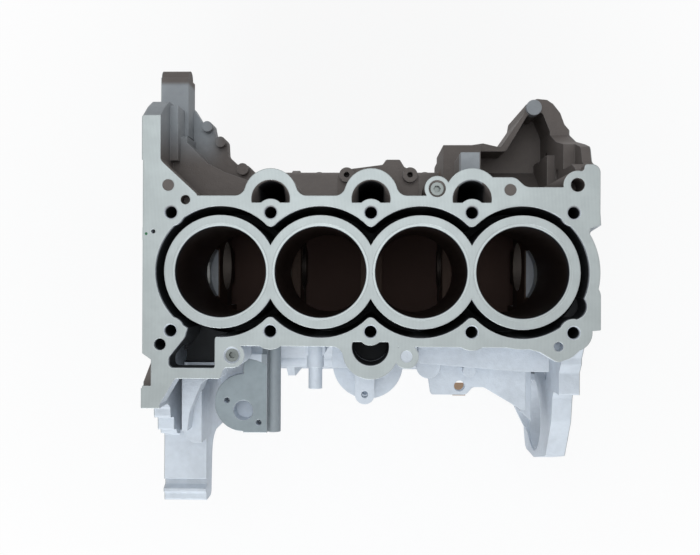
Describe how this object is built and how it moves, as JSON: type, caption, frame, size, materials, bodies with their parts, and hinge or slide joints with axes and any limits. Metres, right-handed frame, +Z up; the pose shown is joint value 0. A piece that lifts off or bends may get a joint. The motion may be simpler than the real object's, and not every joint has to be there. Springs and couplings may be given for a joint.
{
  "type": "engine block",
  "caption": "Bare open-deck aluminium in-line four block with iron-lined bores, bolted main bearing caps, a flanged timing end, and a bell housing flange with starter bore.",
  "frame": {"origin": "crank axis at the middle main bearing", "axes": "+X along the crankshaft towards the bell housing end, +Y towards the oil drain ports, +Z up, square to the deck face"},
  "size_m": [0.403, 0.402, 0.265],
  "materials": {
    "cast_aluminium": "sand-blasted casting with machined faces",
    "liner_iron": "honed",
    "cap_iron": "machined on the joint face, as cast elsewhere",
    "bolt_steel": "black phosphate",
    "plug_steel": "zinc plated",
    "pin_steel": "ground"
  },
  "bodies": {
    "root": {"block_casting": "cast_aluminium", "cylinder_liner_1": "liner_iron", "cylinder_liner_2": "liner_iron", "cylinder_liner_3": "liner_iron", "cylinder_liner_4": "liner_iron", "main_bearing_cap_1": "cap_iron", "main_cap_bolts_1": "bolt_steel", "cap_dowels_1": "pin_steel", "main_bearing_cap_2": "cap_iron", "main_cap_bolts_2": "bolt_steel", "cap_dowels_2": "pin_steel", "main_bearing_cap_3": "cap_iron", "main_cap_bolts_3": "bolt_steel", "cap_dowels_3": "pin_steel", "main_bearing_cap_4": "cap_iron", "main_cap_bolts_4": "bolt_steel", "cap_dowels_4": "pin_steel", "main_bearing_cap_5": "cap_iron", "main_cap_bolts_5": "bolt_steel", "cap_dowels_5": "pin_steel", "exhaust_deck_plug": "plug_steel", "intake_deck_plug": "plug_steel", "front_gallery_plug": "plug_steel", "rear_gallery_plug": "plug_steel", "coolant_drain_plug": "plug_steel", "timing_cover_pins": "pin_steel", "bell_housing_pins": "pin_steel"}
  },
  "joints": []
}
